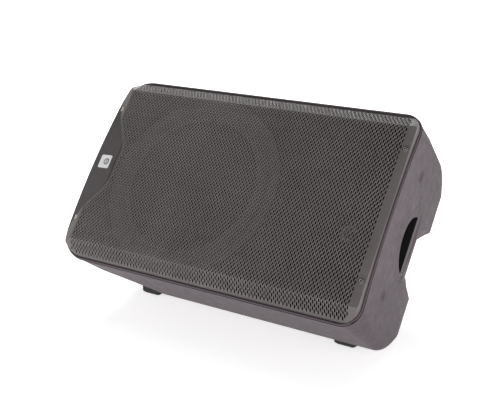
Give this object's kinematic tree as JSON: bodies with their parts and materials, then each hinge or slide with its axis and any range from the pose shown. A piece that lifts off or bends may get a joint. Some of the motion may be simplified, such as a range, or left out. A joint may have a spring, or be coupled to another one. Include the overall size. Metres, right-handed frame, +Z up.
{
  "type": "active loudspeaker cabinet",
  "caption": "Moulded two-way active loudspeaker lying as a floor monitor: folded perforated grille, woofer, horn, hand hole in one end, amplifier panel behind.",
  "frame": {"origin": "bottom centre of the whole object's box, on the floor under the wedge, as it lies on its monitor feet", "axes": "+X along the cabinet's long side towards the hand hole end, +Z up, the grille faces -Y and up"},
  "size_m": [0.6962, 0.439, 0.4473],
  "materials": {
    "moulded_plastic": "fine grained black moulding",
    "grille_steel": "perforated steel, textured black powder coat",
    "badge_grey": "satin grey moulding",
    "badge_white": "satin white",
    "rubber": "black rubber",
    "foam_seal": "black foam strip",
    "paper_cone": "pressed paper pulp, dark grey",
    "woven_cloth": "resin treated woven cloth",
    "cast_frame": "black coated casting",
    "coil_former": "copper winding on a thin former",
    "ferrite": "dark ferrite",
    "zinc_steel": "zinc plated steel",
    "black_screw": "black oxide steel",
    "driver_metal": "dark coated casting",
    "panel_metal": "textured black paint on steel",
    "heatsink": "black anodised aluminium",
    "sheet_metal": "bare zinc coated sheet",
    "circuit_board": "green laminate",
    "transformer": "laminated core with a taped winding",
    "capacitor": "sleeved can",
    "connector_black": "glossy black moulding",
    "latch_metal": "nickel plated tab",
    "knob_plastic": "soft black",
    "button_plastic": "grey push cap",
    "lens_plastic": "clear green lens",
    "brass": "plain brass",
    "cable_jacket": "black jacket"
  },
  "bodies": {
    "cabinet": {"rear_shell": "moulded_plastic", "front_baffle": "moulded_plastic", "baffle_seal": "foam_seal", "baffle_screws": "black_screw", "grille": "grille_steel", "grille_screws": "black_screw", "badge_plate": "badge_grey", "badge": "badge_white", "woofer_basket": "cast_frame", "woofer_surround": "rubber", "woofer_spider": "woven_cloth", "woofer_top_plate": "zinc_steel", "woofer_magnet": "ferrite", "woofer_pole_piece": "zinc_steel", "woofer_screws": "black_screw", "woofer_terminals": "connector_black", "horn": "moulded_plastic", "horn_screws": "black_screw", "hf_driver_body": "driver_metal", "hf_rear_cap": "driver_metal", "hf_bolts": "zinc_steel", "handle_insert": "moulded_plastic", "handle_screws": "black_screw", "amp_panel": "panel_metal", "amp_screws": "black_screw", "amp_heatsink": "heatsink", "amp_cover": "sheet_metal", "power_board": "circuit_board", "power_transformer": "transformer", "power_capacitors": "capacitor", "input_board": "circuit_board", "mains_inlet": "connector_black", "mains_switch_body": "connector_black", "link_socket": "connector_black", "volume_pots": "zinc_steel", "button_switches": "connector_black", "status_lenses": "lens_plastic", "pole_socket": "moulded_plastic", "pole_screws": "black_screw", "rigging_inserts": "brass", "monitor_feet": "rubber", "base_feet": "rubber", "foot_screws": "zinc_steel", "woofer_lead": "cable_jacket", "horn_lead": "cable_jacket", "reflex_port_1": "moulded_plastic", "reflex_port_2": "moulded_plastic", "input_socket_1": "connector_black", "input_socket_2": "connector_black"},
    "woofer_cone_assembly": {"woofer_cone": "paper_cone", "woofer_dust_cap": "paper_cone", "woofer_voice_coil": "coil_former"},
    "hf_diaphragm": {"hf_diaphragm": "coil_former"},
    "mains_rocker": {"mains_rocker": "connector_black"},
    "volume_knob_1": {"volume_knob_1": "knob_plastic"},
    "volume_knob_2": {"volume_knob_2": "knob_plastic"},
    "push_button_1": {"push_button_1": "button_plastic"},
    "push_button_2": {"push_button_2": "button_plastic"},
    "socket_latch_1": {"socket_latch_1": "latch_metal"},
    "socket_latch_2": {"socket_latch_2": "latch_metal"}
  },
  "joints": [
    {"name": "woofer_cone_travel", "type": "slide", "parent": "cabinet", "child": "woofer_cone_assembly", "axis": [0, -0.7675, 0.641], "range_m": [-0.006, 0.006], "stiffness_N_per_m": 7000, "deforming": ["woofer_surround", "woofer_spider"]},
    {"name": "hf_diaphragm_travel", "type": "slide", "parent": "cabinet", "child": "hf_diaphragm", "axis": [0, -0.7675, 0.641], "range_m": [-0.0004, 0.0004], "stiffness_N_per_m": 8000},
    {"name": "mains_rocker_tip", "type": "hinge", "parent": "cabinet", "child": "mains_rocker", "pos_m": [-0.10161, 0.17031, 0.10656], "axis": [0, 0.641, 0.7675], "range_deg": [0, 16]},
    {"name": "volume_1_turn", "type": "hinge", "parent": "cabinet", "child": "volume_knob_1", "pos_m": [0.00439, 0.14056, 0.06626], "axis": [0, 0.7675, -0.641], "range_deg": [0, 300]},
    {"name": "volume_2_turn", "type": "hinge", "parent": "cabinet", "child": "volume_knob_2", "pos_m": [0.00439, 0.17133, 0.1031], "axis": [0, 0.7675, -0.641], "range_deg": [0, 300]},
    {"name": "button_1_press", "type": "slide", "parent": "cabinet", "child": "push_button_1", "axis": [0, -0.7675, 0.641], "range_m": [0, 0.0025], "stiffness_N_per_m": 300},
    {"name": "button_2_press", "type": "slide", "parent": "cabinet", "child": "push_button_2", "axis": [0, -0.7675, 0.641], "range_m": [0, 0.0025], "stiffness_N_per_m": 300},
    {"name": "latch_1_press", "type": "slide", "parent": "cabinet", "child": "socket_latch_1", "axis": [0, -0.641, -0.7675], "range_m": [0, 0.0014], "stiffness_N_per_m": 200},
    {"name": "latch_2_press", "type": "slide", "parent": "cabinet", "child": "socket_latch_2", "axis": [0, -0.641, -0.7675], "range_m": [0, 0.0014], "stiffness_N_per_m": 200}
  ]
}
